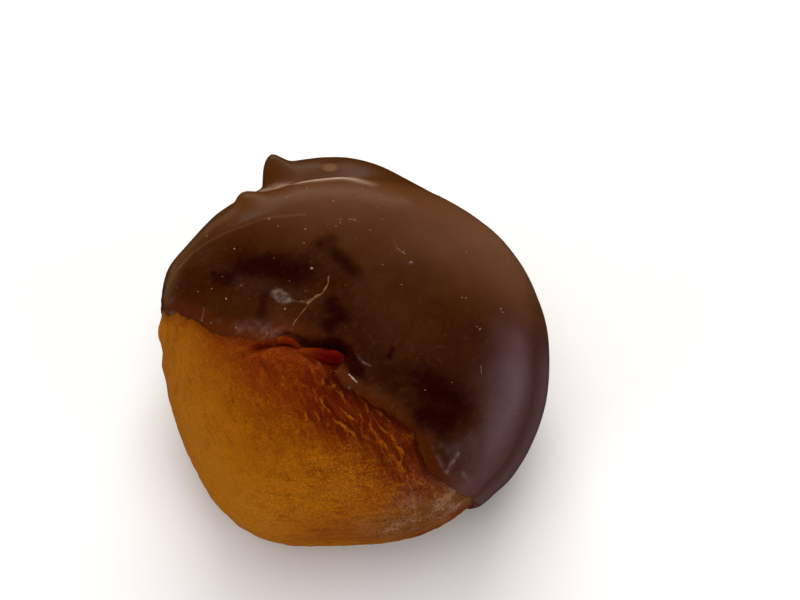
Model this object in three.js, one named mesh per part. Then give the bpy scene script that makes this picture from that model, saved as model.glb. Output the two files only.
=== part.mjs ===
import * as THREE from 'three';

// Chocolate dipped apricot: one whole dried apricot resting on its flat side,
// the far half of it dipped at a slant in chocolate.
// Millimetres. X to the right, Y away from the bare end, Z up, floor at z = 0.

// Driving dimensions of the fruit
const PLAN_RADIUS = 20.2;
const HALF_HEIGHT = 12.6;
const PRESSED_FLAT = 1.4;
const PLUMPNESS = 2.35;
const MIDDLE = new THREE.Vector3(0, 0, HALF_HEIGHT - PRESSED_FLAT);
const FOOTPRINT_MIDDLE = new THREE.Vector3(-0.3, 2.6, 0);

// Driving dimensions of the chocolate
const DIP_AZIMUTH = 55.2;
const DIP_LEVEL = -7.9;
const GAP = 0.3;
const SHELL = 0.8;
const LIP_THICKNESS = 0.5;
const LIP_WIDTH = 0.9;

// The drip tip and the round nub on its far side, in degrees and millimetres
const TIP = { azimuth: 110.5, elevation: 8.1, width: 2.6, foot: 1.6, rise: 2.35 };
const NUB = { azimuth: 126.2, elevation: 21.2, width: 4.3, rise: 1.2 };

// Steps of the surfaces round and along the dip axis
const ROUND = 72;
const HIDDEN_ROWS = 17;
const BARE_ROWS = 37;
const COAT_ROWS = 26;
const LIP_ROWS = 3;

const DEGREE = Math.PI / 180;
const UP = new THREE.Vector3(0, 0, 1);
const DIP = new THREE.Vector3(Math.cos(DIP_AZIMUTH * DEGREE), Math.sin(DIP_AZIMUTH * DEGREE), 0);
const ALONG = new THREE.Vector3(DIP.y, -DIP.x, 0);

// Outline seen from above: shallow bulges and flats, azimuth and width in degrees
const OUTLINE = [
  { at: 5, width: 30, rise: -0.2 },
  { at: 40, width: 30, rise: 0.2 },
  { at: 75, width: 26, rise: 0.1 },
  { at: 105, width: 26, rise: 1.6 },
  { at: 135, width: 22, rise: 1.3 },
  { at: 161, width: 15, rise: 1.4 },
  { at: 236, width: 19, rise: 1.7 },
  { at: 270, width: 16, rise: -0.4 },
  { at: 300, width: 24, rise: -0.1 },
  { at: 330, width: 26, rise: -0.4 },
];

// Hollows and folds of the upper face. "under" is how much of each the chocolate follows.
const FACE = [
  { name: 'stem cavity', from: [-5.2, -4.2], to: [-1.4, -5.3], width: 1.4, rise: -1.6, under: 0.15 },
  { name: 'tongue of flesh in it', from: [-4.4, -4.5], to: [-1.3, -5.6], width: 0.7, rise: 1.2, under: 0 },
  { name: 'fold beside the stem', from: [-5.5, -3.9], to: [-9.3, -4.0], width: 0.7, rise: -0.4, under: 0 },
  { name: 'end of the fold', from: [-9.3, -4.0], to: [-13.5, -4.8], width: 0.7, rise: -0.3, under: 0 },
  { name: 'mound under the fold', from: [-8.5, -5.6], to: [-4.6, -6.2], width: 1.8, rise: 0.3, under: 0 },
  { name: 'face hollow', from: [-12.0, 6.0], to: [-5.0, 3.0], width: 4.6, rise: -1.4, under: 1 },
  { name: 'valley by the dip line', from: [5.0, -9.5], to: [10.0, -11.5], width: 2.8, rise: -0.9, under: 1 },
  { name: 'first wrinkle', from: [-3.6, -7.4], to: [-0.9, -10.4], width: 0.5, rise: 0.25, under: 0 },
  { name: 'second wrinkle', from: [-3.8, -9.7], to: [-1.0, -12.6], width: 0.5, rise: 0.3, under: 0 },
  { name: 'third wrinkle', from: [-1.0, -12.6], to: [0.5, -14.5], width: 0.5, rise: 0.25, under: 0 },
  { name: 'fourth wrinkle', from: [1.1, -10.4], to: [4.0, -13.1], width: 0.5, rise: 0.25, under: 0 },
  { name: 'fifth wrinkle', from: [3.3, -13.1], to: [5.4, -17.0], width: 0.5, rise: 0.25, under: 0 },
];

// Marks that are in the chocolate alone
const COAT_MARKS = [
  { name: 'long dent', from: [-1.9, 6.2], to: [-0.1, 4.0], width: 0.8, rise: -0.22 },
  { name: 'small dent', from: [-3.6, 7.6], to: [-2.6, 8.0], width: 0.8, rise: -0.12 },
  { name: 'left of the rim line', from: [-19.6, 6.6], to: [-14.9, 10.6], width: 0.8, rise: 0.14 },
  { name: 'right of the rim line', from: [-14.9, 10.6], to: [-7.5, 11.8], width: 0.8, rise: 0.14 },
];

// The chocolate's edge over the upper face: the turning points of its line, each a place
// along the edge and how far back along the dip axis the chocolate reaches there
const DIP_LINE = [
  [-21.5, -7.0], [-17.8, -8.6], [-13.6, -8.9], [-11.4, -9.4], [-6.2, -8.35], [-4.0, -6.3],
  [-2.4, -6.4], [1.3, -5.0], [2.0, -5.0], [2.6, -7.4], [4.2, -7.75], [7.5, -7.5], [11.3, -7.05],
  [15.1, -8.7], [19.5, -7.6],
];

function bell(t) {
  return Math.exp(-t * t);
}

function lopsided(t, below, above) {
  return bell(t < 0 ? t / below : t / above);
}

function smooth(t) {
  const s = Math.min(Math.max(t, 0), 1);
  return s * s * (3 - 2 * s);
}

// Degrees from one azimuth to another, between -180 and 180
function turn(azimuth, from) {
  return ((azimuth - from + 540) % 360) - 180;
}

function planRadius(azimuth) {
  let radius = PLAN_RADIUS;
  for (const bulge of OUTLINE) {
    radius += bulge.rise * bell(turn(azimuth, bulge.at) / bulge.width);
  }
  return radius;
}

// A stroke is a straight hollow or ridge with rounded ends, placed in plan on the upper face
function stroke(point, mark) {
  const ax = point.x - mark.from[0];
  const ay = point.y - mark.from[1];
  const bx = mark.to[0] - mark.from[0];
  const by = mark.to[1] - mark.from[1];
  const share = Math.min(Math.max((ax * bx + ay * by) / (bx * bx + by * by), 0), 1);
  const distance = Math.hypot(ax - share * bx, ay - share * by);
  return mark.rise * bell(distance / mark.width) * smooth((point.z - MIDDLE.z) / 4);
}

// Far side: the groove where the fruit's halves part, partly filled by the chocolate,
// and the lower half's lip behind it
function farSide(azimuth, elevation, outside) {
  const groove = lopsided(turn(azimuth, 104), 21, 22) * bell((elevation - 17.5) / 5);
  const span = turn(azimuth, 93.6);
  const reach = span < 0 ? bell(span / 21) : Math.exp(-((span / 19) ** 8));
  const lip = reach * lopsided(elevation - 5.8, 28, 5.6);
  return 2.5 * lip - (outside ? 1.7 : 2.0) * groove;
}

// Near and left sides: the faint seam, and two small bulges of bare skin
function nearSide(azimuth, elevation) {
  const seam = bell(turn(azimuth, 235) / 60) * bell((elevation + 8) / 5);
  const upper = bell(Math.hypot(turn(azimuth, 173), elevation - 7) / 4);
  const lower = bell(Math.hypot(turn(azimuth, 181), elevation - 1) / 4);
  return -0.5 * seam + 0.5 * upper + 0.3 * lower;
}

// A line drawn softly through its turning points
function between(t, line) {
  let value = line[0][1];
  for (let i = 1; i < line.length; i += 1) {
    const [start, low] = line[i - 1];
    const [end, high] = line[i];
    value += (high - low) * smooth((t - start) / (end - start));
  }
  return value;
}

// The dip line: how far back along the dip axis the chocolate reaches
function dipLevel(point) {
  const t = point.dot(ALONG);
  const under = DIP_LEVEL + 0.6 * Math.sin(t / 4);
  const level = under + (between(t, DIP_LINE) - under) * smooth((point.z - 6) / 8);
  return level + 3.8 * smooth((17 - point.z) / 12) * smooth((t - 8) / 8);
}

// Pressed flat by what it lies on, with a soft turn into the flat
function restOn(height, floor) {
  const softness = 0.4;
  const above = height - floor;
  if (above >= softness) {
    return height;
  }
  return floor + (above <= -softness ? 0 : (above + softness) ** 2 / (4 * softness));
}

// A point of the fruit's surface in a direction from its middle.
// For the chocolate's outside the hollows are partly filled and its own marks added.
function surface(direction, outside) {
  const level = Math.hypot(direction.x, direction.y);
  const azimuth = Math.atan2(direction.y, direction.x) / DEGREE + 360;
  const elevation = Math.atan2(direction.z, level) / DEGREE;
  const plan = level / planRadius(azimuth % 360);
  const rise = Math.abs(direction.z) / HALF_HEIGHT;
  const radius = (plan ** PLUMPNESS + rise ** PLUMPNESS) ** (-1 / PLUMPNESS);
  const plain = direction.clone().multiplyScalar(radius).add(MIDDLE);
  let lift = farSide(azimuth, elevation, outside) + nearSide(azimuth, elevation);
  for (const mark of FACE) {
    lift += stroke(plain, mark) * (outside ? mark.under : 1);
  }
  if (outside) {
    for (const mark of COAT_MARKS) {
      lift += stroke(plain, mark);
    }
  }
  const point = plain.addScaledVector(direction, lift);
  const covered = smooth((point.dot(DIP) - dipLevel(point) + 4) / 4);
  point.z = restOn(point.z, (GAP + SHELL) * covered);
  return point;
}

// Outward normal, from four neighbouring points
function normalAt(direction, outside) {
  const side = new THREE.Vector3(direction.y, -direction.x, 0.01).cross(direction).normalize();
  const other = new THREE.Vector3().crossVectors(direction, side);
  const near = (axis, step) => {
    const turned = direction.clone().addScaledVector(axis, step).normalize();
    return surface(turned, outside);
  };
  const first = near(side, 0.01).sub(near(side, -0.01));
  const second = near(other, 0.01).sub(near(other, -0.01));
  return first.cross(second).normalize();
}

// A direction given by its angle from the dip axis and a turn round it, 0 pointing up
function directionAt(polar, round) {
  return DIP.clone().multiplyScalar(Math.cos(polar))
    .addScaledVector(UP, Math.sin(polar) * Math.cos(round))
    .addScaledVector(ALONG, Math.sin(polar) * Math.sin(round));
}

// The angle from the dip axis at which the chocolate ends, found by halving
function edgeAngle(round) {
  let low = 60 * DEGREE;
  let high = 150 * DEGREE;
  for (let i = 0; i < 30; i += 1) {
    const middle = (low + high) / 2;
    const point = surface(directionAt(middle, round), false);
    if (point.dot(DIP) > dipLevel(point)) {
      low = middle;
    } else {
      high = middle;
    }
  }
  return (low + high) / 2;
}

// Rows from the dip pole (0) to the chocolate's edge (1): even ones, then a few close to the edge
function rowShare(row, rows) {
  const even = rows - LIP_ROWS;
  const lip = 0.05;
  if (row <= even) {
    return (1 - lip) * (row / even);
  }
  return 1 - lip * (1 - (row - even) / LIP_ROWS) ** 1.6;
}

function shellThickness(distance) {
  const t = Math.min(distance / LIP_WIDTH, 1);
  return LIP_THICKNESS * Math.sqrt(1 - (1 - t) ** 2) + (SHELL - LIP_THICKNESS) * smooth(distance / 5);
}

// Closed mesh from rings of points: the first and last rings are single points.
// From the ring "back" on, the cells are split along their other diagonal.
function closedMesh(rings, back) {
  const positions = [];
  const starts = [];
  for (const ring of rings) {
    starts.push(positions.length / 3);
    for (const point of ring) {
      positions.push(point.x, point.y, point.z);
    }
  }
  const index = [];
  for (let r = 0; r < rings.length - 1; r += 1) {
    for (let k = 0; k < ROUND; k += 1) {
      const next = (k + 1) % ROUND;
      const a = starts[r] + (rings[r].length === 1 ? 0 : k);
      const b = starts[r] + (rings[r].length === 1 ? 0 : next);
      const c = starts[r + 1] + (rings[r + 1].length === 1 ? 0 : next);
      const d = starts[r + 1] + (rings[r + 1].length === 1 ? 0 : k);
      const [first, second] = r < back ? [[a, c, b], [a, d, c]] : [[a, d, b], [b, d, c]];
      if (a !== b) {
        index.push(...first);
      }
      if (c !== d) {
        index.push(...second);
      }
    }
  }
  const geometry = new THREE.BufferGeometry();
  geometry.setAttribute('position', new THREE.Float32BufferAttribute(positions, 3));
  geometry.setIndex(index);
  geometry.computeVertexNormals();
  return geometry;
}

// Turns round the dip axis, closer together over the upper face, and the edge at each
const rounds = Array.from({ length: ROUND }, (_, k) => {
  const even = (k / ROUND) * 2 * Math.PI;
  return even - 0.35 * Math.sin(even);
});
const edges = rounds.map(edgeAngle);
const edgeLine = rounds.map((round, k) => surface(directionAt(edges[k], round), false));

// Fruit: hidden rows under the chocolate, then the bare flesh
function fruitGeometry() {
  const rings = [[surface(DIP, false)]];
  for (let row = 1; row <= HIDDEN_ROWS; row += 1) {
    const share = rowShare(row, HIDDEN_ROWS);
    rings.push(rounds.map((round, k) => surface(directionAt(edges[k] * share, round), false)));
  }
  for (let row = 1; row < BARE_ROWS; row += 1) {
    const share = (row / BARE_ROWS) ** 1.1;
    rings.push(rounds.map((round, k) => {
      return surface(directionAt(edges[k] + (Math.PI - edges[k]) * share, round), false);
    }));
  }
  rings.push([surface(DIP.clone().negate(), false)]);
  return closedMesh(rings, rings.length);
}

// Distance from a place on the fruit to the line of the chocolate's edge
function distanceToEdge(point) {
  const nearest = new THREE.Vector3();
  let best = Infinity;
  for (let k = 0; k < ROUND; k += 1) {
    const piece = new THREE.Line3(edgeLine[k], edgeLine[(k + 1) % ROUND]);
    best = Math.min(best, piece.closestPointToPoint(point, true, nearest).distanceTo(point));
  }
  return best;
}

// What ran and set on the far side: a tip at the end of the lip, and a round nub
function drips(direction) {
  const level = Math.hypot(direction.x, direction.y);
  const azimuth = Math.atan2(direction.y, direction.x) / DEGREE;
  const elevation = Math.atan2(direction.z, level) / DEGREE;
  const aside = turn(azimuth, TIP.azimuth) * level;
  const across = aside > 0 ? aside / TIP.foot : aside;
  const tip = bell(Math.hypot(across, elevation - TIP.elevation) / TIP.width);
  const nub = bell(Math.hypot(turn(azimuth, NUB.azimuth) * level, elevation - NUB.elevation) / NUB.width);
  return TIP.rise * tip + NUB.rise * nub;
}

function coatPoint(polar, round, outside, offset) {
  const direction = directionAt(polar, round);
  const point = surface(direction, outside).addScaledVector(normalAt(direction, outside), offset);
  if (outside) {
    point.addScaledVector(direction, drips(direction));
  }
  point.z = Math.max(point.z, 0);
  return point;
}

// Chocolate: outside from the dip pole to the edge, back along the inside
function coatGeometry() {
  const rings = [[coatPoint(0, 0, true, GAP + SHELL)]];
  for (let row = 1; row < COAT_ROWS; row += 1) {
    const share = rowShare(row, COAT_ROWS);
    rings.push(rounds.map((round, k) => {
      const away = distanceToEdge(surface(directionAt(edges[k] * share, round), false));
      return coatPoint(edges[k] * share, round, true, GAP + shellThickness(away));
    }));
  }
  rings.push(rounds.map((round, k) => coatPoint(edges[k], round, false, GAP)));
  for (let row = HIDDEN_ROWS - 1; row > 0; row -= 1) {
    const share = rowShare(row, HIDDEN_ROWS);
    rings.push(rounds.map((round, k) => coatPoint(edges[k] * share, round, false, GAP)));
  }
  rings.push([coatPoint(0, 0, false, GAP)]);
  return closedMesh(rings, COAT_ROWS);
}

// Dried apricot flesh: amber brown, satin
function fruitMaterial() {
  return new THREE.MeshStandardMaterial({ color: 0x7f440c, roughness: 0.42, metalness: 0 });
}

// Milk chocolate: mid brown, soft gloss
function chocolateMaterial() {
  return new THREE.MeshStandardMaterial({ color: 0x4a2816, roughness: 0.38, metalness: 0 });
}

const apricot = new THREE.Mesh(fruitGeometry(), fruitMaterial());
apricot.name = 'apricot';

const chocolateCoat = new THREE.Mesh(coatGeometry(), chocolateMaterial());
chocolateCoat.name = 'chocolate_coat';

// The origin is under the middle of the whole, rear lobe included
const part = new THREE.Group();
part.name = 'chocolate_dipped_apricot';
for (const mesh of [apricot, chocolateCoat]) {
  mesh.position.copy(FOOTPRINT_MIDDLE).negate();
  part.add(mesh);
}

export default part;
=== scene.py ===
import math

import bpy
import numpy as np
from mathutils import Matrix, Vector


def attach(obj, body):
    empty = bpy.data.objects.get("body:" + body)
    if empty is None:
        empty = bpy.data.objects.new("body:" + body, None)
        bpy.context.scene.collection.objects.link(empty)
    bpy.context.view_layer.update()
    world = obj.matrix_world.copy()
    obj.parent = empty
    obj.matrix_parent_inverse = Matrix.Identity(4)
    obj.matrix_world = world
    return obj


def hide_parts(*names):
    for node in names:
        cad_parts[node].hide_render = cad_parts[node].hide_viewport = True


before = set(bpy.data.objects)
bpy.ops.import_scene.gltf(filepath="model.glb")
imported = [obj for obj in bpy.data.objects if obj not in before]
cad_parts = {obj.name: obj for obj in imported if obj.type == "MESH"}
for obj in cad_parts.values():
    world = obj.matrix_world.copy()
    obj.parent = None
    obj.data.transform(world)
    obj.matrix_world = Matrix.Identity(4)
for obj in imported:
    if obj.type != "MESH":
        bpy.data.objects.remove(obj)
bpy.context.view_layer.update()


# The fruit: one whole dried apricot with the stone out, plump and a little flattened, lying
# on its flat side. Soft amber flesh under a thin dried skin, redder round the stem cavity and
# drawn into fine wrinkles as it dried. Sizes are in millimetres, angles in degrees.
MM = 0.001
DEGREE = math.pi / 180
PLAN_RADIUS = 20.2
HALF_HEIGHT = 12.6
PRESSED_FLAT = 1.4
PLUMPNESS = 2.35
MIDDLE = np.array([0.0, 0.0, HALF_HEIGHT - PRESSED_FLAT])
FOOTPRINT_MIDDLE = np.array([-0.3, 2.6, 0.0])
COAT = 1.1

# Shallow bulges and flats of the outline: azimuth, width, rise
OUTLINE = [(5, 30, -0.2), (40, 30, 0.2), (75, 26, 0.1), (105, 26, 1.6), (135, 22, 1.3),
           (161, 15, 1.4), (236, 19, 1.7), (270, 16, -0.4), (300, 24, -0.1), (330, 26, -0.4)]

# Hollows of the upper face: from, to, width, rise, how much of it the chocolate follows
STEM_CAVITY = ((-5.2, -4.2), (-1.4, -5.3), 1.4, -1.6, 0.15)
FACE_HOLLOW = ((-12.0, 6.0), (-5.0, 3.0), 4.6, -1.4, 1)
DIP_VALLEY = ((5.0, -9.5), (10.0, -11.5), 2.8, -0.9, 1)

# The tongue of red flesh in the stem cavity, and the fold that runs into it from the left
STEM_FLESH = [(-5.6, -4.1), (-3.8, -4.7), (-2.4, -5.2), (-1.3, -5.6)]
FOLD = [(-14.3, -4.8), (-12.1, -4.7), (-10.7, -4.4), (-9.3, -4.0), (-7.2, -3.7), (-5.4, -3.9)]

# The wrinkles that stand out, each a path over the face with its width and height
WRINKLES = [
    ([(-3.9, -9.5), (-3.3, -10.3), (-2.7, -11.0), (-2.5, -11.6), (-1.9, -12.1), (-1.0, -12.5), (-0.4, -13.2),
      (0.0, -13.9), (0.5, -14.5)], 0.22, 0.26),
    ([(-5.8, -9.9), (-5.6, -10.7), (-5.1, -11.4), (-4.9, -12.0), (-4.7, -12.7)], 0.2, 0.18),
    ([(-3.9, -11.3), (-3.7, -12.1), (-3.2, -12.7), (-2.3, -13.1)], 0.18, 0.16),
    ([(-4.0, -6.5), (-3.5, -7.5), (-3.0, -8.4), (-2.5, -8.7), (-1.9, -8.6), (-1.4, -9.1), (-1.3, -9.8),
      (-0.7, -10.5)], 0.24, 0.24),
    ([(-1.5, -10.8), (-0.8, -11.5), (-0.1, -11.9), (0.5, -12.1)], 0.18, 0.18),
    ([(1.0, -11.6), (1.4, -12.4), (1.5, -12.8), (1.2, -13.3), (2.0, -13.9), (3.2, -14.0)], 0.17, 0.15),
    ([(0.2, -9.6), (0.8, -10.1), (1.1, -10.6), (1.6, -11.5)], 0.2, 0.22),
    ([(1.1, -10.3), (2.0, -10.8), (2.5, -11.1), (3.0, -11.4), (3.6, -12.0), (3.9, -12.7),
      (4.2, -13.5)], 0.2, 0.25),
    ([(1.9, -11.9), (2.5, -12.6), (3.3, -13.1), (3.8, -13.7), (4.3, -14.2), (4.8, -15.0),
      (4.6, -15.6), (4.9, -16.2), (5.1, -16.5), (5.6, -17.4)], 0.2, 0.22),
    ([(5.1, -12.1), (5.8, -12.8), (6.1, -13.6), (6.5, -14.6)], 0.2, 0.22),
    ([(4.8, -12.9), (5.5, -13.1), (6.1, -13.7)], 0.18, 0.14),
    ([(-10.3, -5.9), (-9.5, -7.9), (-9.2, -8.9)], 0.22, 0.12),
    ([(-8.4, -9.1), (-8.2, -10.0), (-8.3, -10.9)], 0.18, 0.1),
    ([(-9.2, -11.4), (-9.0, -12.8), (-9.3, -14.3)], 0.3, 0.13),
    ([(-12.6, -15.7), (-10.1, -16.4), (-8.8, -16.7), (-7.0, -16.9)], 0.24, 0.13),
    ([(-8.4, -17.3), (-6.3, -17.2), (-3.5, -17.6), (-1.1, -17.5)], 0.24, 0.16),
    ([(-5.5, -15.4), (-4.0, -15.3), (-2.6, -15.8), (-1.1, -16.0)], 0.2, 0.14),
    ([(-3.9, -14.6), (-2.9, -15.4), (-2.2, -15.8)], 0.2, 0.13),
    ([(-3.9, -19.1), (-2.9, -19.3), (-1.5, -19.6), (0.0, -19.7)], 0.22, 0.2),
]

# The far side: the groove where the halves part, shallower where chocolate fills it, and the
# lower half's lip behind it. The near side: the seam, and two small bulges at its left end.
GROOVE = {"azimuth": 104, "elevation": 17.5, "depth": 2.0, "filled": 1.7}
LIP = {"azimuth": 93.6, "elevation": 5.8, "rise": 2.5}
SEAM = {"azimuth": 235, "elevation": -8, "depth": 0.5}
BULGES = [(173, 7, 0.5), (181, 1, 0.3)]

# The chocolate's edge over the upper face: the turning points of its line, each a place
# along the edge and how far back along the dip axis the chocolate reaches there
DIP_LINE = [(-21.5, -7.0), (-17.8, -8.6), (-13.6, -8.9), (-11.4, -9.4), (-6.2, -8.35), (-4.0, -6.3),
            (-2.4, -6.4), (1.3, -5.0), (2.0, -5.0), (2.6, -7.4), (4.2, -7.75), (7.5, -7.5), (11.3, -7.05),
            (15.1, -8.7), (19.5, -7.6)]
DIP_AZIMUTH = 55.2
DIP_LEVEL = -7.9
DIP = np.array([math.cos(DIP_AZIMUTH * DEGREE), math.sin(DIP_AZIMUTH * DEGREE), 0.0])
ALONG = np.array([DIP[1], -DIP[0], 0.0])
UP = np.array([0.0, 0.0, 1.0])


def bell(t):
    return np.exp(-t * t)


def lopsided(t, below, above):
    return bell(t / np.where(t < 0, below, above))


def smooth(t):
    t = np.clip(t, 0, 1)
    return t * t * (3 - 2 * t)


def turn(azimuth, start):
    """Degrees from one azimuth to another, between -180 and 180."""
    return (azimuth - start + 540) % 360 - 180


def plan_radius(azimuth):
    radius = np.full_like(azimuth, PLAN_RADIUS)
    for at, width, rise in OUTLINE:
        radius = radius + rise * bell(turn(azimuth, at) / width)
    return radius


def between(t, line):
    """A line drawn softly through its turning points."""
    height = np.full_like(t, line[0][1])
    for (start, low), (end, high) in zip(line[:-1], line[1:]):
        height = height + (high - low) * smooth((t - start) / (end - start))
    return height


def from_path(points, path):
    """Distance from a path, in plan if the path is, and the nearest place along it, 0 to 1."""
    best = np.full(len(points), 1e9)
    share = np.zeros(len(points))
    for step, (start, end) in enumerate(zip(path[:-1], path[1:])):
        start, run = np.array(start), np.array(end) - np.array(start)
        offset = points[:, :len(start)] - start
        t = np.clip(offset @ run / (run @ run), 0, 1)
        distance = np.linalg.norm(offset - t[:, None] * run, axis=1)
        share = np.where(distance < best, (step + t) / (len(path) - 1), share)
        best = np.minimum(best, distance)
    return best, share


def on_top(points):
    return smooth((points[:, 2] - MIDDLE[2]) / 4)


def stroke(points, mark):
    start, end, width, rise = mark[:4]
    return rise * bell(from_path(points, [start, end])[0] / width) * on_top(points)


def waves(points, size, seed):
    """A smooth uneven field, about -1 to 1, whose swells are "size" long."""
    rng = np.random.default_rng(seed)
    heading = rng.normal(size=(14, points.shape[1]))
    heading /= np.linalg.norm(heading, axis=1, keepdims=True)
    length = size * rng.uniform(0.7, 1.5, 14)
    phase = rng.uniform(0, 2 * np.pi, 14)
    return np.sin(points @ (heading / length[:, None]).T * 2 * np.pi + phase).sum(axis=1) / 4


def far_side(azimuth, elevation, outside):
    """The groove where the halves part, and the lower half's lip behind it."""
    groove = lopsided(turn(azimuth, GROOVE["azimuth"]), 21, 22)
    groove = groove * bell((elevation - GROOVE["elevation"]) / 5)
    span = turn(azimuth, LIP["azimuth"])
    reach = np.where(span < 0, bell(span / 21), np.exp(-np.abs(span / 19) ** 8))
    lip = reach * lopsided(elevation - LIP["elevation"], 28, 5.6)
    return LIP["rise"] * lip - GROOVE["filled" if outside else "depth"] * groove


def near_side(azimuth, elevation):
    """The seam round the front, and the bulges at its left end."""
    seam = bell(turn(azimuth, SEAM["azimuth"]) / 60) * bell((elevation - SEAM["elevation"]) / 5)
    bulges = (rise * bell(np.hypot(turn(azimuth, at), elevation - up) / 4) for at, up, rise in BULGES)
    return sum(bulges, -SEAM["depth"] * seam)


def dip_level(points):
    """How far back along the dip axis the chocolate reaches, a little further at its right end."""
    t = points @ ALONG
    upper = between(t, DIP_LINE)
    under = DIP_LEVEL + 0.6 * np.sin(t / 4)
    level = under + (upper - under) * smooth((points[:, 2] - 6) / 8)
    return level + 3.8 * smooth((17 - points[:, 2]) / 12) * smooth((t - 8) / 8)


def rest_on(height, floor):
    """Heights kept above a floor, with a soft turn where they meet it."""
    softness = 0.4
    above = height - floor
    rounded = floor + (above + softness) ** 2 / (4 * softness)
    return np.where(above >= softness, height, np.where(above <= -softness, floor, rounded))


def main_form(direction, outside=False):
    """Points of the fruit's surface in directions from its middle, without the fine relief."""
    level = np.hypot(direction[:, 0], direction[:, 1])
    azimuth = np.arctan2(direction[:, 1], direction[:, 0]) / DEGREE
    elevation = np.arctan2(direction[:, 2], level) / DEGREE
    plan = level / plan_radius(azimuth)
    rise = np.abs(direction[:, 2]) / HALF_HEIGHT
    radius = (plan ** PLUMPNESS + rise ** PLUMPNESS) ** (-1 / PLUMPNESS)
    plain = direction * radius[:, None] + MIDDLE
    lift = far_side(azimuth, elevation, outside) + near_side(azimuth, elevation)
    for mark in (STEM_CAVITY, FACE_HOLLOW, DIP_VALLEY):
        lift = lift + stroke(plain, mark) * (mark[4] if outside else 1)
    points = plain + direction * lift[:, None]
    covered = smooth((points @ DIP - dip_level(points) + 4) / 4)
    points[:, 2] = rest_on(points[:, 2], COAT * covered)
    return points


def outward(direction, outside=False):
    """Outward normals of the main form."""
    level = np.stack([direction[:, 1], -direction[:, 0], np.full(len(direction), 0.01)], 1)
    side = np.cross(level, direction)
    side /= np.linalg.norm(side, axis=1, keepdims=True)
    other = np.cross(direction, side)

    def near(axis, step):
        turned = direction + axis * step
        return main_form(turned / np.linalg.norm(turned, axis=1, keepdims=True), outside)

    normal = np.cross(near(side, 0.01) - near(side, -0.01), near(other, 0.01) - near(other, -0.01))
    return normal / np.linalg.norm(normal, axis=1, keepdims=True)


def wrinkles(points):
    """The wrinkles that stand out: sharp crests that fade at both ends."""
    wander = 0.09 * np.stack([waves(points, 1.4, 1), waves(points, 1.4, 2), 0 * points[:, 2]], 1)
    height = np.zeros(len(points))
    for path, width, rise in WRINKLES:
        distance, share = from_path(points + wander, path)
        ends = smooth(share / 0.15) * smooth((1 - share) / 0.3)
        height += rise * (0.25 + 0.75 * ends) * np.exp(-(distance / width) ** 1.3)
    return height * (0.85 + 0.35 * waves(points, 0.9, 15)) * on_top(points)


def pleats(points, across, apart, seed):
    """Low uneven crests, side by side across a direction."""
    u = points @ np.array(across) / apart
    u = u + 0.4 * waves(points, 5 * apart, seed) + 0.12 * waves(points, 1.6 * apart, seed + 1)
    crest = (1 - np.abs(np.sin(np.pi * u))) ** 2
    return (crest - 0.3) * (0.7 + 0.5 * waves(points, 3.5, seed + 2))


def round_the_stem(points):
    """The fold, the mound that rises under it, the tongue of flesh and the lumps beside it."""
    distance, share = from_path(points, FOLD)
    open_end = smooth(share / 0.35)
    height = open_end * (0.12 * bell((distance - 0.6) / 0.35) - (0.12 + 0.28 * share) * bell(distance / 0.26))
    distance, share = from_path(points, STEM_FLESH)
    height += 0.7 * bell(distance / (0.3 + 0.4 * share)) * smooth(share / 0.3)
    mound = bell(from_path(points, [(-8.5, -5.6), (-4.6, -6.2)])[0] / 1.8)
    height += mound * (0.3 + 0.1 * waves(points, 1.1, 10))
    return height * on_top(points)


def folds(points):
    """How the skin dried: the wrinkles that stand out, and low pleats beside, in front and left."""
    beside = bell(from_path(points, [(-2.5, -9.5), (6.0, -15.5)])[0] / 4.4) * on_top(points)
    near = smooth((-13.0 - points[:, 1]) / 3) * smooth((points[:, 2] - 7) / 4)
    left = bell(from_path(points, [(-9.5, -8.0), (-8.5, -13.5)])[0] / 3.6) * on_top(points)
    height = wrinkles(points) + 0.19 * pleats(points, (0.9, 0.43, 0.0), 1.15, 3) * beside
    height += 0.1 * pleats(points, (0.03, 0.0, 0.87), 0.8, 6) * near * (0.6 + 0.5 * waves(points, 5, 16))
    return height + 0.1 * pleats(points, (0.77, 0.05, 0.0), 0.9, 9) * left


def fine_relief(points):
    """Everything finer than the main form on the bare skin, as a height in millimetres."""
    height = folds(points) + round_the_stem(points)
    height += 0.05 * waves(points, 3.2, 12) + 0.022 * waves(points, 1.3, 13) + 0.014 * waves(points, 0.7, 14)
    return height * smooth((points[:, 2] - 0.3) / 2)


def direction_at(polar, round_angle):
    """Directions by the angle from the dip axis and the turn round it, 0 pointing up."""
    across = np.cos(round_angle)[:, None] * UP + np.sin(round_angle)[:, None] * ALONG
    return np.cos(polar)[:, None] * DIP + np.sin(polar)[:, None] * across


def edge_angles(round_angle):
    """Where the chocolate ends, found by halving, with the small unevenness of a real dip."""
    low = np.full_like(round_angle, 60 * DEGREE)
    high = np.full_like(round_angle, 150 * DEGREE)
    for _ in range(30):
        middle = (low + high) / 2
        points = main_form(direction_at(middle, round_angle))
        inside = points @ DIP > dip_level(points)
        low, high = np.where(inside, middle, low), np.where(inside, high, middle)
    ring = 22 * np.stack([np.cos(round_angle), np.sin(round_angle)], 1)
    return low + (0.13 * waves(ring, 3.4, 21) + 0.08 * waves(ring, 1.1, 22)) / 21


def side_faces(rows, count, start=0):
    """The faces between neighbouring rings, whose points are numbered on from start."""
    r, k = np.meshgrid(np.arange(rows - 1), np.arange(count), indexing="ij")
    after = (k + 1) % count
    corners = [r * count + k, (r + 1) * count + k, (r + 1) * count + after, r * count + after]
    return (start + np.stack(corners, -1).reshape(-1, 4)).tolist()


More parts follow.
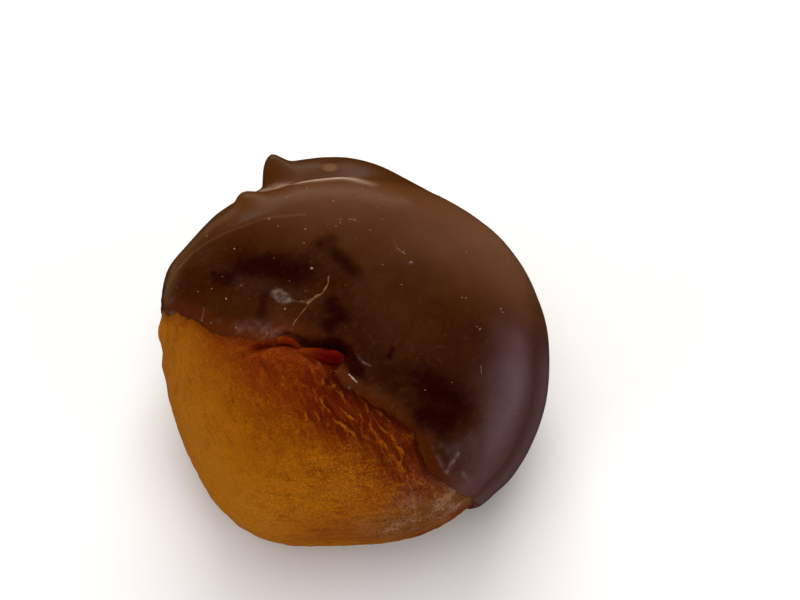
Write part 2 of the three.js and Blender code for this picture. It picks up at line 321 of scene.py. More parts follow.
def smooth_piece(name, points, faces):
    """A piece of the scene from points in millimetres, in the frame of the part."""
    mesh = bpy.data.meshes.new(name)
    mesh.from_pydata(((points - FOOTPRINT_MIDDLE) * MM).tolist(), [], faces)
    mesh.polygons.foreach_set("use_smooth", [True] * len(mesh.polygons))
    piece = bpy.data.objects.new(name, mesh)
    bpy.context.scene.collection.objects.link(piece)
    return piece


def closed_mesh(name, rings, attributes):
    """A closed body from rings of points; the first and last ring close to their middle."""
    rows, count, _ = rings.shape
    points = np.concatenate([rings.reshape(-1, 3), rings[0].mean(0)[None], rings[-1].mean(0)[None]])
    k = np.arange(count)
    after = (k + 1) % count
    start = (rows - 1) * count
    first = np.stack([np.full(count, rows * count), k, after], -1)
    last = np.stack([np.full(count, rows * count + 1), start + after, start + k], -1)
    piece = smooth_piece(name, points, side_faces(rows, count) + first.tolist() + last.tolist())
    for label, values in attributes.items():
        values = np.reshape(values, (rows, count))
        flat = np.concatenate([values.ravel(), [values[0].mean(), values[-1].mean()]])
        attribute = piece.data.attributes.new(label, "FLOAT", "POINT")
        attribute.data.foreach_set("value", flat.astype(np.float32))
    return piece


class Socket:
    """A value in a material. Sums of values add their Math nodes."""

    def __init__(self, finish, socket):
        self.finish = finish
        self.socket = socket

    def combine(self, operation, first, second):
        return self.finish.node("ShaderNodeMath", {"operation": operation}, {0: first, 1: second})

    def __add__(self, other):
        return self.combine("ADD", self, other)

    def __sub__(self, other):
        return self.combine("SUBTRACT", self, other)

    def __rsub__(self, other):
        return self.combine("SUBTRACT", other, self)

    def __mul__(self, other):
        return self.combine("MULTIPLY", self, other)

    def __abs__(self):
        return self.finish.node("ShaderNodeMath", {"operation": "ABSOLUTE"}, {0: self})

    __radd__ = __add__
    __rmul__ = __mul__


class Finish:
    """A material, built node by node onto its Principled shader."""

    def __init__(self, name):
        self.material = bpy.data.materials.new(name)
        self.material.use_nodes = True
        self.tree = self.material.node_tree
        self.shader = self.tree.nodes["Principled BSDF"]

    def node(self, kind, settings=None, sockets=None, output=0):
        node = self.tree.nodes.new(kind)
        for name, value in (settings or {}).items():
            setattr(node, name, value)
        for name, value in (sockets or {}).items():
            self.feed(node.inputs[name], value)
        return Socket(self, node.outputs[output])

    def feed(self, target, value):
        if isinstance(value, Socket):
            self.tree.links.new(value.socket, target)
        elif isinstance(value, (tuple, list)) and len(value) == 3 and target.type == "RGBA":
            target.default_value = (*value, 1.0)
        else:
            target.default_value = value

    def surface(self, **values):
        for name, value in values.items():
            self.feed(self.shader.inputs[name.replace("_", " ")], value)

    def place(self):
        """Where a point is on the piece, in millimetres along X, Y and Z."""
        where = self.node("ShaderNodeTexCoord", output="Object")
        return [self.node("ShaderNodeSeparateXYZ", None, {0: where}, output=axis) * 1000 for axis in range(3)]

    def noise(self, scale, detail=3.0, roughness=0.5, stretch=(1, 1, 1)):
        """Noise over the piece, in swells per millimetre."""
        where = self.node("ShaderNodeTexCoord", output="Object")
        where = self.node("ShaderNodeVectorMath", {"operation": "MULTIPLY"},
                          {0: where, 1: tuple(1000 * s for s in stretch)})
        return self.node("ShaderNodeTexNoise", None,
                         {"Vector": where, "Scale": scale, "Detail": detail, "Roughness": roughness})

    def streaky(self, across, along, height, scale, detail=4.0, roughness=0.6):
        """Noise drawn out along one direction, from places across and along it and the height."""
        drawn_out = self.node("ShaderNodeCombineXYZ", None, {0: across, 1: along, 2: height})
        return self.node("ShaderNodeTexNoise", None,
                         {"Vector": drawn_out, "Scale": scale, "Detail": detail, "Roughness": roughness})

    def attribute(self, name):
        return self.node("ShaderNodeAttribute", {"attribute_name": name}, output="Fac")

    def step(self, value, low, high):
        """0 below low, 1 above high, smooth between."""
        return self.node("ShaderNodeMapRange", {"interpolation_type": "SMOOTHSTEP"},
                         {"Value": value, "From Min": low, "From Max": high})

    def mix(self, share, first, second):
        return self.node("ShaderNodeMix", {"data_type": "RGBA"},
                         {"Factor": share, 6: first, 7: second}, output=2)

    def layers(self, tone, *over):
        """Colours laid over a first one, each with the share of it that shows."""
        for share, shade in over:
            tone = self.mix(share, tone, shade)
        return tone


def colour(*screen):
    """A colour given as it looks on a screen, red, green and blue from 0 to 255."""
    return tuple(((c / 255 + 0.055) / 1.055) ** 2.4 if c > 10 else c / 255 / 12.92 for c in screen)


AROUND = 512
turns = np.linspace(0, 2 * np.pi, AROUND, endpoint=False)
turns = turns - 0.35 * np.sin(turns)
edges = edge_angles(turns)


def rows_at(shares, start, end):
    """Directions in rows from one set of polar angles to another, as rows x turns x 3."""
    polar = start + (end - start) * np.asarray(shares)[:, None]
    return direction_at(polar.ravel(), np.broadcast_to(turns, polar.shape).ravel()).reshape(*polar.shape, 3)


def fruit_points(direction):
    """The fruit's skin, fine relief and all."""
    flat = direction.reshape(-1, 3)
    points = main_form(flat)
    points = points + outward(flat) * fine_relief(points)[:, None]
    return points.reshape(direction.shape)


hidden = rows_at(np.linspace(0.002, 1, 13)[:-1], 0 * edges, edges)
bare = rows_at(np.linspace(0, 0.998, 168) ** 1.1, edges, np.full(AROUND, np.pi))
fruit_rings = np.concatenate([fruit_points(hidden), fruit_points(bare)])
edge_line = fruit_points(rows_at([1.0], 0 * edges, edges))[0]
edge_loop = np.concatenate([edge_line, edge_line[:1]]).tolist()
flat_rings = fruit_rings.reshape(-1, 3)
from_edge = from_path(flat_rings, edge_loop)[0].reshape(fruit_rings.shape[:2])
from_edge[:len(hidden)] = 0

# What is painted on the skin: painted shade in the creases round the stem, each a path with its
# width and strength, sugar and chocolate smeared at the near right, the drawn skin right of the
# stem, and the side of each wrinkle where painted shadow falls
CREASE_SHADES = [([(-5.6, -3.9), (-6.4, -3.9), (-7.6, -3.9), (-9.0, -3.9), (-10.0, -3.9)], 0.4, 1.0),
           ([(-8.5, -4.3), (-10.1, -4.5), (-11.4, -4.9), (-12.6, -4.8)], 0.2, 0.4),
           ([(-4.9, -5.4), (-4.1, -6.2)], 0.3, 0.9), ([(-10.4, -3.8), (-11.8, -3.2)], 0.2, 0.35),
           ([(-9.7, -5.2), (-9.0, -6.5), (-8.0, -7.4)], 0.25, 0.25)]
SMEAR = [(4.6, -19.2, 12.0), (7.7, -18.1, 13.9), (10.9, -16.4, 12.9)]
DRAWN = [(-2.5, -9.5), (5.6, -14.6)]
WRINKLE_SHADOW_SIDE = (0.24, 0.2, 0.0)


def painted(points, strokes):
    """The strength of soft strokes laid over a surface."""
    return sum(strength * bell(from_path(points, path)[0] / width) for path, width, strength in strokes)


stem, share = from_path(flat_rings, STEM_FLESH)
apricot = closed_mesh("dried_apricot", fruit_rings, {
    "from_edge": from_edge,
    "cavity": bell(stem / (0.7 + 0.5 * share)) * smooth(share / 0.2 + 0.3) * on_top(flat_rings),
    "crest": folds(flat_rings),
    "crease_shade": painted(flat_rings, CREASE_SHADES) * on_top(flat_rings),
    "smear": bell(from_path(flat_rings, SMEAR)[0] / 3.0),
    "lee": wrinkles(flat_rings - WRINKLE_SHADOW_SIDE),
    "drawn": bell(from_path(flat_rings, DRAWN)[0] / 4.5),
})

# The skin from its ground colour up: paler where it is smooth, redder where it is drawn, with
# dark and gold strands, flecks and fine gold lines, painted glints on the near skin, painted
# highlights on the wrinkle crests, painted shade beside the wrinkles, low down, along the
# chocolate's edge, in the valleys and in the creases, and, last, the smear with its sugar
flesh = Finish("dried_apricot_flesh")
x, y, z = flesh.place()
mottle = flesh.noise(0.22, 4.0)
patches = flesh.noise(0.45, 3.0)
grain = flesh.noise(1.6, 4.0, 0.65)
flecks = flesh.noise(4.2, 3.0, 0.75)
drawn = flesh.step(flesh.attribute("drawn") + (mottle - 0.5) * 0.9, 0.3, 0.85)
smoother = 1 - flesh.step(x * 0.85 + y * 0.35 + mottle * 4, -17.0, -8.5)
golden = flesh.step(x * -0.25 + y * -0.75 + patches * 5, 11.5, 21.5)
grainy = 1 - smoother * 0.4
near = flesh.step(y + mottle * 5, -12.5, -17.5)
down = flesh.streaky(x * 0.9 + y * 0.43, x * -0.12 + y * 0.25, z, 1.9)
level = flesh.streaky(y, x * 0.22, z, 1.7)
strand = flesh.mix(near, down, level)
sand = flesh.step(flecks, 0.5, 0.72) * grainy * (1 - 0.75 * drawn)
fine = flesh.streaky(x * 0.8 + y * 0.6, x * -0.1 + y * 0.13, z * 0.25, 0.85, 3.0, 0.55)
lines = (1 - flesh.step(abs(fine - 0.5), 0.0, 0.028)) * drawn * flesh.step(mottle + grain * 0.4, 0.55, 0.75)
# painted shadow on the side of each wrinkle away from the light
lee = flesh.step(flesh.attribute("lee"), 0.03, 0.16) * (0.1 + 0.9 * drawn)
# painted glints: gold sparkle on the near skin, in place of highlights
painted_glints = flesh.step(flesh.noise(5.5, 2.0, 0.6), 0.55, 0.66)
painted_glints = painted_glints * flesh.step(x * 0.45 - y + patches * 5, 15.0, 20.0)
# painted highlight along the wrinkle crests
lit_crests = flesh.step(flesh.attribute("crest") + (flecks - 0.5) * 0.3, 0.08, 0.22)
# painted shade in the valleys between the folds
valley_shade = (1 - flesh.step(flesh.attribute("crest"), -0.05, 0.03)) * (0.15 + 0.85 * flesh.attribute("drawn"))
# painted shade low on the skin where it turns under, from the middle rightwards
below = (1 - flesh.step(z, 13.0, 18.0)) * flesh.step(z, 6.0, 10.0) * flesh.step(x, -9.0, -2.0)
shaded = 1 - flesh.step(flesh.attribute("from_edge"), 0.05, 1.3)
smear = flesh.attribute("smear")
sugar = smear * (0.05 + 1.2 * flesh.step(flecks * 0.7 + patches * 0.45, 0.58, 0.66))
tone = flesh.layers(
    flesh.mix(golden, colour(108, 37, 2), colour(155, 91, 3)),
    (smoother * 0.85, colour(155, 94, 4)),
    (drawn * 0.85, colour(85, 19, 1)),
    (flesh.step(strand, 0.5, 0.3) * grainy * 0.5, colour(92, 26, 1)),
    (flesh.step(strand, 0.5, 0.72) * grainy * (0.22 + 0.5 * near), colour(160, 88, 5)),
    (flesh.step(flecks, 0.54, 0.36) * grainy * 0.35, colour(78, 22, 1)),
    (sand * (0.1 + 0.45 * flesh.step(patches, 0.35, 0.7)), colour(178, 106, 12)),
    (lines * (0.1 + 0.8 * flecks), colour(162, 84, 8)),
    (lee * 0.7, colour(62, 12, 1)),
    (painted_glints * (0.55 - 0.42 * drawn), colour(192, 126, 24)),
    (lit_crests * 0.6, colour(160, 88, 12)),
    (below * 0.4, colour(94, 32, 2)),
    (flesh.attribute("cavity") * 0.97, colour(80, 4, 1)),
    (shaded * (0.38 + 0.5 * drawn), colour(58, 9, 1)),
    (valley_shade * 0.5, colour(70, 16, 1)),
    # painted shade in the creases round the stem
    (flesh.attribute("crease_shade") * (0.55 + 0.6 * grain), colour(62, 5, 1)),
    (smear * (0.6 - 0.3 * drawn), colour(98, 60, 14)),
    (sugar * 0.8, colour(142, 106, 84)),
)
bump = flesh.node("ShaderNodeBump", None, {
    "Height": grain * 0.5 + flecks * grainy, "Strength": 0.75, "Distance": 0.00025})
flesh.surface(Base_Color=tone, Roughness=0.36 + 0.24 * grain, Normal=bump)
flesh.surface(Specular_IOR_Level=0.07, Subsurface_Weight=0.25, Subsurface_Scale=0.0015)
flesh.shader.inputs["Subsurface Radius"].default_value = (1.0, 0.35, 0.08)
apricot.data.materials.append(flesh.material)
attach(apricot, "root")
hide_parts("apricot")


# The coat: milk chocolate that the far half was dipped in, about a millimetre thick, set
# with a rounded, slightly uneven edge. It partly fills the fruit's hollows and bridges the
# stem cavity. Its own marks are a rim line, two dents, a drip tip and a nub on the far side.
LIP_WIDTH = 0.9
LONG_DENT = [(-1.9, 6.2), (-0.1, 4.0)]
SMALL_DENT = [(-3.6, 7.6), (-2.6, 8.0)]
RIM_LINE = [(-20.3, 5.6), (-19.8, 6.5), (-18.7, 7.8), (-17.4, 9.3), (-15.7, 10.3), (-13.8, 10.9),
            (-12.3, 11.1), (-10.8, 11.5), (-9.2, 11.8), (-7.7, 11.7), (-5.3, 11.7)]
BUBBLE = np.array([-2.8, 21.9])
TIP = {"azimuth": 110.5, "elevation": 8.1, "width": 2.6, "foot": 1.6, "rise": 2.35}
NUB = {"azimuth": 126.2, "elevation": 21.2, "width": 4.3, "rise": 1.2}


def bubble_at(points):
    """A bubble that rose in the chocolate behind the rim, wider than it is long."""
    away = (points[:, :2] - BUBBLE) / (0.85, 0.55)
    return bell(np.linalg.norm(away, axis=1)) * smooth((points[:, 2] - 12) / 2)


def drips(direction):
    """What ran and set on the far side: a tip at the end of the lip, and a round nub."""
    level = np.hypot(direction[:, 0], direction[:, 1])
    azimuth = np.arctan2(direction[:, 1], direction[:, 0]) / DEGREE
    elevation = np.arctan2(direction[:, 2], level) / DEGREE
    aside = turn(azimuth, TIP["azimuth"]) * level
    across = np.where(aside > 0, aside / TIP["foot"], aside)
    tip = bell(np.hypot(across, elevation - TIP["elevation"]) / TIP["width"])
    across = turn(azimuth, NUB["azimuth"]) * level
    nub = bell(np.hypot(across, elevation - NUB["elevation"]) / NUB["width"])
    return direction * (TIP["rise"] * tip + NUB["rise"] * nub)[:, None]


def coat_points(direction, distance):
    """The chocolate's outside, from the fruit's skin at the edge to its own smoother form."""
    flat = direction.reshape(-1, 3)
    away = distance.reshape(-1)
    skin = fruit_points(direction).reshape(-1, 3)
    own = main_form(flat, outside=True)
    rim, share = from_path(own, RIM_LINE)
    marks = 0.14 * bell(rim / 0.8) * smooth((1 - share) / 0.4)
    marks -= painted(own, [(LONG_DENT, 0.75, 0.22), (SMALL_DENT, 0.7, 0.1)])
    marks = marks * on_top(own) + 0.22 * bubble_at(own)
    marks += 0.04 * waves(own, 7, 31) + 0.008 * waves(own, 2, 32)
    marks += 0.05 * waves(own, 0.9, 33) * bell((away - 1.0) / 1.0)
    base = skin + (own - skin) * smooth(away / 1.4)[:, None]
    full = 0.32 + 0.38 * smooth((own @ ALONG + 6) / 14)
    lip = full * np.sqrt(1 - (1 - np.minimum(away / LIP_WIDTH, 1)) ** 2) - 0.08
    thick = lip + (COAT - full + 0.08) * smooth(away / 5) + marks * smooth(away / 1.2)
    points = base + outward(flat, outside=True) * thick[:, None] + drips(flat)
    points[:, 2] = np.maximum(points[:, 2], 0)
    return points.reshape(direction.shape)


coat_shares = 1 - (1 - np.linspace(0.002, 1, 166)) ** 1.45
coat_direction = rows_at(coat_shares, 0 * edges, edges)
under_coat = fruit_points(coat_direction)
coat_distance = from_path(under_coat.reshape(-1, 3), edge_loop)[0].reshape(under_coat.shape[:2])
coat_outside = coat_points(coat_direction, coat_distance)
inner_direction = rows_at(np.linspace(0.992, 0.002, 14), 0 * edges, edges)
flat_inner = inner_direction.reshape(-1, 3)
coat_inside = (main_form(flat_inner) + 0.15 * outward(flat_inner)).reshape(inner_direction.shape)
coat_rings = np.concatenate([coat_outside, coat_inside])

# Paths with their widths and strengths, painted on the coat: painted shade in the hollows, round
# the stem notch and at the near right, and dark marks with painted shade in the dents, with a
# warm painted half-shade about it; bloom, smudged and frosted where fat has bloomed on it, with
# painted glints and a painted reflection among the smudges; a painted lilac sheen down the right
# flank; a painted highlight along the far crest; painted light on the left shoulder
DARK_MARKS_AND_SHADE = [([(-14.7, 5.3), (-13.3, 4.2)], 1.1, 0.7),
               ([(-11.6, 6.2), (-8.9, 5.5), (-6.1, 4.6)], 2.0, 0.95),
               ([(-9.3, 1.7), (-9.7, -0.6)], 0.8, 0.65),
               ([(-2.4, 0.4), (-1.5, -1.5), (-2.7, -2.3)], 1.0, 1.0),
               (LONG_DENT, 0.95, 0.85), (SMALL_DENT, 1.0, 0.65),
               ([(-2.2, -4.2), (-0.9, -5.0), (-0.5, -6.0), (0.1, -7.2)], 0.7, 1.3),
               ([(-5.4, -3.5), (-3.6, -3.9), (-2.2, -4.2)], 0.45, 0.9),
               ([(0.1, -7.2), (0.9, -8.2)], 0.55, 0.5),
               ([(-7.9, -2.9), (-7.4, -2.6), (-6.6, -2.6), (-5.8, -3.0)], 0.25, 0.9),
               ([(0.5, -4.2), (3.5, -7.8)], 1.9, 0.4),
               ([(7.2, -8.2), (10.4, -9.9), (8.6, -11.6), (7.0, -11.2)], 1.9, 0.95),
               ([(3.5, -5.9), (3.8, -5.2)], 0.3, 0.7), ([(-2.0, 23.3), (-1.0, 23.6)], 0.35, 0.8)]
WARM_SHADE_PLACES = [([(-15.4, 5.5), (-13.2, 5.7), (-9.7, 5.0), (-5.7, 4.0), (-3.1, 1.6)], 3.4, 1.0),
               ([(-3.1, 1.6), (-1.0, -2.0), (0.5, -4.2), (3.5, -7.8)], 2.2, 0.8),
               ([(6.0, -8.6), (10.0, -10.5), (9.6, -13.6)], 2.8, 1.0)]
SMUDGES_AND_GLINTS = [([(-8.0, 1.9), (-7.4, 1.4)], 0.75, 1.0), ([(-6.8, 1.1), (-5.9, 0.9), (-4.8, 0.8)], 0.25, 0.5),
           ([(-0.2, -4.9), (0.2, -5.6), (0.6, -6.3)], 0.35, 0.38), ([(0.8, -6.5), (1.6, -6.9)], 0.16, 0.5),
           ([(9.3, -15.9), (10.0, -14.9), (10.5, -14.2)], 0.26, 0.7),
           ([(11.0, -15.6), (12.2, -16.2)], 0.4, 0.5), ([(0.1, 10.6), (-1.8, 10.9)], 0.5, 0.35),
           ([(5.7, 5.0), (5.9, 5.2)], 0.35, 0.6), ([(4.0, 7.9), (4.4, 6.9), (5.2, 6.2)], 0.16, 0.5),
           ([(-10.1, 12.8), (-9.9, 13.0)], 0.4, 0.2), ([(-0.6, -8.9), (-0.5, -8.9)], 0.2, 0.6)]
FROST = [([(-14.5, -0.3, 21.4), (-13.8, -0.4, 21.6)], 0.3, 0.5),
         ([(-12.3, -1.3, 22.2), (-11.9, -1.7, 22.3)], 0.5, 0.7),
         ([(-10.9, -1.4, 22.6), (-10.2, -1.8, 22.8)], 0.6, 0.7),
         ([(-9.6, -2.0, 23.0), (-8.2, -2.6, 23.3)], 0.7, 0.8),
         ([(-21.0, 5.4, 13.2), (-20.0, 3.8, 16.0), (-19.0, 2.9, 17.6)], 0.22, 1.3),
         ([(-19.6, 4.6, 17.0), (-19.2, 4.4, 17.9)], 0.3, 0.8),
         ([(-11.9, -2.2, 22.3), (-10.5, -2.9, 22.8)], 0.16, 1.2),
         ([(-14.4, -1.3, 21.3), (-13.5, -1.6, 21.7)], 0.14, 0.9),
         ([(-8.8, -3.2, 23.2), (-8.0, -3.1, 23.3)], 0.16, 1.1)]
FLANK_SHEEN = [([(16.8, -2.6, 20.2), (16.8, -4.2, 20.0), (17.0, -7.8, 18.3), (15.4, -11.8, 17.2),
           (14.4, -13.7, 16.3), (11.8, -16.4, 14.9), (11.0, -16.6, 12.0)], 2.6, 0.75),
         ([(20.4, -3.0, 14.0), (19.8, -7.5, 13.0), (17.8, -11.8, 11.5), (14.6, -15.4, 10.0),
           (12.8, -16.8, 9.0)], 3.4, 1.2)]
CREST = [(-10.8, 19.0, 16.5), (-7.7, 19.3, 17.8), (-5.9, 17.7, 20.1), (-3.2, 18.0, 20.3),
         (-1.1, 18.2, 20.2), (1.8, 16.9, 21.0)]
SHOULDER = [(-20.2, 5.6, 16.6), (-19.8, 6.9, 17.7), (-18.9, 9.2, 17.6), (-17.3, 11.4, 17.9),
            (-15.4, 13.2, 18.4), (-13.4, 14.2, 19.4)]
FILM = [(-1.6, -7.2, 23.6), (0.5, -8.8, 23.6), (2.5, -9.6, 23.0), (4.6, -10.4, 22.3),
        (5.6, -11.3, 21.9), (7.1, -12.6, 21.1), (8.1, -13.9, 20.2)]
flat_coat = coat_rings.reshape(-1, 3)
across, _, height = flat_coat.T
coat_from_edge = np.concatenate([coat_distance.ravel(), np.zeros(len(flat_inner))])
on_left = smooth((-4 - across) / 4) * smooth((height - 12) / 4)
crest, share = from_path(flat_coat, CREST)
coat = closed_mesh("chocolate_coat_dipped", coat_rings, {
    "from_edge": coat_from_edge,
    "dark_marks_and_shade": np.minimum(painted(flat_coat, DARK_MARKS_AND_SHADE) * on_top(flat_coat), 1),
    "warm_shade": np.minimum(painted(flat_coat, WARM_SHADE_PLACES) * on_top(flat_coat), 1),
    "bloom_and_glints": painted(flat_coat, SMUDGES_AND_GLINTS) * (height > 15),
    "haze": bell((coat_from_edge - 0.5) / 0.5) * on_left * smooth((across + 15) / 5),
    "flank_sheen": np.maximum(*[painted(flat_coat, [stroke]) for stroke in FLANK_SHEEN]),
    "crest_highlight": bell(crest / 0.6) * smooth(share / 0.5 + 0.3) * smooth((1.1 - share) / 0.4),
    "lit_shoulder": painted(flat_coat, [(SHOULDER, 1.4, 1)]),
    "rim_line": painted(flat_coat, [(RIM_LINE, 0.26, 1)]) * (height > 14),
    "bubble": bubble_at(flat_coat),
    "film": painted(flat_coat, [(FILM, 0.65, 1)]),
    "frost": painted(flat_coat, FROST) * (height > 11),
})

# The chocolate from its ground colour up: painted light towards the far side, warm painted shade
# and dark marks with painted shade, bloom in its kinds with painted glints, a painted reflection
# and a painted lilac sheen, painted light on the left shoulder, with the painted highlight along
# the far crest and the far side last
chocolate = Finish("milk_chocolate")
x, y, _ = chocolate.place()
cloud = chocolate.noise(0.12, 3.0)
mottle = chocolate.noise(0.5, 5.0, 0.6)
speckle = chocolate.noise(2.4, 4.0, 0.6)
ragged = chocolate.noise(0.9, 5.0, 0.65)
fleck = chocolate.step(chocolate.noise(1.7, 4.0, 0.6), 0.5, 0.75)
patchy = chocolate.step(chocolate.noise(1.3, 4.0, 0.6), 0.42, 0.62)
streaks = chocolate.step(chocolate.noise(1.2, 4.0, 0.7, (0.3, 2.0, 2.0)), 0.3, 0.65)
# painted light: lighter towards the far side, as if lit from behind
upper = chocolate.step(y + 0.25 * x + cloud * 8, 3.0, 19.0)
thin = 1 - chocolate.step(chocolate.attribute("from_edge"), 0.2, 2.6)
# warm painted half-shade round the painted shade
warm_shade = chocolate.attribute("warm_shade") * (0.35 + 0.7 * chocolate.step(ragged, 0.35, 0.65))
# painted shade in the hollows and round the stem notch, with dark marks in the dents
dark_marks_and_shade = chocolate.step(chocolate.attribute("dark_marks_and_shade") * (0.2 + 0.9 * ragged + 0.6 * speckle), 0.0, 1.0)
rim = chocolate.step(chocolate.attribute("rim_line"), 0.35, 1.0)
# bloom smudges and specks, with painted glints by the stem notch and at the near right and a painted
# reflection in the left hollow
bloom_and_glint_share = chocolate.step(chocolate.attribute("bloom_and_glints") + (ragged - 0.5) * 0.5, 0.2, 0.8)
# painted highlight along the far crest, where light from behind catches it
crest_highlight = chocolate.attribute("crest_highlight")
tone = chocolate.layers(
    chocolate.mix(chocolate.step(cloud, 0.35, 0.65), colour(47, 18, 2), colour(54, 23, 3)),
    (upper, colour(80, 43, 13)),
    # painted light from the right, lighter again at the far right
    (upper * chocolate.step(x, 4.0, 16.0) * 0.6, colour(106, 73, 53)),
    (chocolate.step(mottle, 0.45, 0.75) * 0.2, colour(70, 36, 11)),
    (thin * 0.65, colour(80, 29, 3)),
    (chocolate.attribute("film") * 0.6, colour(70, 35, 8)),
    (warm_shade * 0.75, colour(40, 14, 1)),
    (dark_marks_and_shade * 0.95, colour(27, 2, 1)),
    (fleck * (1 - dark_marks_and_shade) * 0.22, colour(84, 50, 22)),
    # painted light on the left shoulder
    (chocolate.attribute("lit_shoulder") * (0.3 + 0.5 * speckle), colour(98, 66, 40)),
    (rim * (0.05 + 0.4 * mottle), colour(116, 80, 50)),
    (chocolate.attribute("haze") * (0.1 + 0.3 * patchy), colour(96, 46, 14)),
    (chocolate.attribute("frost") * (0.1 + 0.45 * patchy), colour(100, 74, 67)),
    # painted lilac sheen of a cool light down the right flank
    (chocolate.attribute("flank_sheen") * (0.58 + 0.3 * mottle), colour(94, 68, 70)),
    (bloom_and_glint_share * (0.2 + 0.6 * patchy), colour(100, 84, 76)),
    (crest_highlight * (0.25 + 0.75 * streaks), colour(200, 172, 150)),
    # darker again beyond the far crest, where the painted light ends
    (chocolate.step(y, 16.0, 18.0) * (1 - crest_highlight) * 0.8, colour(61, 30, 4)),
    (chocolate.step(chocolate.attribute("bubble"), 0.1, 0.7) * 0.6, colour(118, 82, 46)),
)
bump = chocolate.node("ShaderNodeBump", None, {
    "Height": mottle * 0.6 + speckle * 0.25, "Strength": 0.18, "Distance": 0.0002})
chocolate.surface(Base_Color=tone, Roughness=0.24 + 0.14 * mottle - 0.1 * warm_shade, Normal=bump)
chocolate.surface(Specular_IOR_Level=0.18, Subsurface_Weight=0.06, Subsurface_Scale=0.0012)
chocolate.shader.inputs["Subsurface Radius"].default_value = (1.0, 0.4, 0.15)
coat.data.materials.append(chocolate.material)
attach(coat, "root")
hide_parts("chocolate_coat")


# The tongue of flesh at the stem: soft red pulp of the fruit itself, smooth and moist, that
# comes out of the stem cavity between the skin and the chocolate's edge and lies over both.
TONGUE = [(-6.1, -4.2, 22.4), (-5.0, -4.65, 22.6), (-3.9, -5.0, 22.85), (-2.9, -5.25, 23.05),
          (-2.1, -5.4, 23.2), (-1.6, -5.6, 23.2)]
TONGUE_WIDTH = [0.4, 0.62, 0.76, 0.84, 0.82, 0.66]
FLAP = [(-7.7, -3.5, 22.8), (-7.1, -3.35, 22.9), (-6.5, -3.5, 22.9), (-5.8, -4.0, 22.75)]
FLAP_WIDTH = [0.2, 0.36, 0.42, 0.3]


def tube(path, widths, around, steps, flatness=1.0):
    """Rings round a path, closed to a soft end at both ends, wider than high if flattened."""
    path = np.array(path, dtype=float)
    at = np.linspace(0, len(path) - 1, steps)
    line = np.stack([np.interp(at, np.arange(len(path)), path[:, axis]) for axis in range(3)], 1)
    kernel = np.array([0.25, 0.5, 0.25])
    for _ in range(4):
        line[1:-1] = np.stack([np.convolve(line[:, axis], kernel, "valid") for axis in range(3)], 1)
    width = np.interp(at, np.arange(len(path)), widths)
    forward = np.gradient(line, axis=0)
    forward /= np.linalg.norm(forward, axis=1, keepdims=True)
    side = np.cross(forward, UP)
    side /= np.linalg.norm(side, axis=1, keepdims=True)
    over = np.cross(side, forward)
    caps = np.array([1.0, 0.8, 0.45])
    line = np.concatenate([line[0] - forward[0] * width[0] * caps[:, None], line,
                           line[-1] + forward[-1] * width[-1] * caps[::-1, None]])
    round_off = np.sqrt(1 - np.minimum(caps, 0.995) ** 2)
    width = np.concatenate([width[0] * round_off, width, width[-1] * round_off[::-1]])
    side = np.concatenate([side[[0] * 3], side, side[[-1] * 3]])
    over = np.concatenate([over[[0] * 3], over, over[[-1] * 3]])
    angle = np.linspace(0, 2 * np.pi, around, endpoint=False)
    ring = np.cos(angle)[:, None] * side[:, None] + flatness * np.sin(angle)[:, None] * over[:, None]
    return line[:, None] + ring * width[:, None, None]


tongue_rings = tube(TONGUE, TONGUE_WIDTH, around=40, flatness=0.85, steps=60)
flat_tongue = tongue_rings.reshape(-1, 3)
swell = 0.05 * waves(flat_tongue, 1.3, 51) + 0.02 * waves(flat_tongue, 0.5, 52)
centre = tongue_rings.mean(1, keepdims=True)
tongue_rings = centre + (tongue_rings - centre) * (1 + swell.reshape(tongue_rings.shape[:2])[:, :, None])
root = np.broadcast_to(np.linspace(1, 0, len(tongue_rings))[:, None], tongue_rings.shape[:2])
tongue = closed_mesh("stem_tongue", tongue_rings, {"root": root})
flap_rings = tube(FLAP, FLAP_WIDTH, around=24, steps=24)
flap = closed_mesh("stem_flap", flap_rings, {"root": np.full(flap_rings.shape[:2], 0.62)})
pulp = Finish("red_apricot_pulp")
fibre = pulp.noise(1.4, 4.0, 0.6, (0.5, 1.0, 1.0))
tone = pulp.layers(
    pulp.mix(pulp.step(fibre, 0.35, 0.7), colour(64, 3, 1), colour(86, 8, 1)),
    (pulp.step(pulp.attribute("root"), 0.4, 0.95), colour(106, 38, 2)),
)
bump = pulp.node("ShaderNodeBump", None, {"Height": fibre, "Strength": 0.3, "Distance": 0.0002})
pulp.surface(Base_Color=tone, Roughness=0.26 + 0.15 * fibre, Normal=bump)
pulp.surface(Specular_IOR_Level=0.07, Subsurface_Weight=0.4, Subsurface_Scale=0.0012)
pulp.shader.inputs["Subsurface Radius"].default_value = (1.0, 0.25, 0.08)
for piece in (tongue, flap):
    piece.data.materials.append(pulp.material)
    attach(piece, "root")


# Dried threads: thin strings of tan pulp that were lifted out with the fruit and stuck to the
# chocolate as it set, half sunk in it.
THREADS = [
    ([(-2.6, 3.8), (-2.9, 2.7), (-3.2, 1.8), (-4.0, 1.4), (-4.8, 0.7)], 0.15),
    ([(-4.3, 0.9), (-5.4, -0.3), (-6.0, -1.3), (-6.5, -2.5)], 0.06),
    ([(-3.9, 1.4), (-4.6, 1.0), (-5.6, 0.9)], 0.09),
]
coat_surface = coat_outside.reshape(-1, 3)
coat_surface = coat_surface[coat_surface[:, 2] > 9]


def laid_on(surface, place):
    """The point of a surface, seen from above, at a place in plan."""
    away = np.linalg.norm(surface[:, :2] - place, axis=1)
    nearest = np.argpartition(away, 4)[:4]
    weight = 1 / (away[nearest] + 0.01) ** 2
    return np.array([*place, surface[nearest, 2] @ weight / weight.sum()])


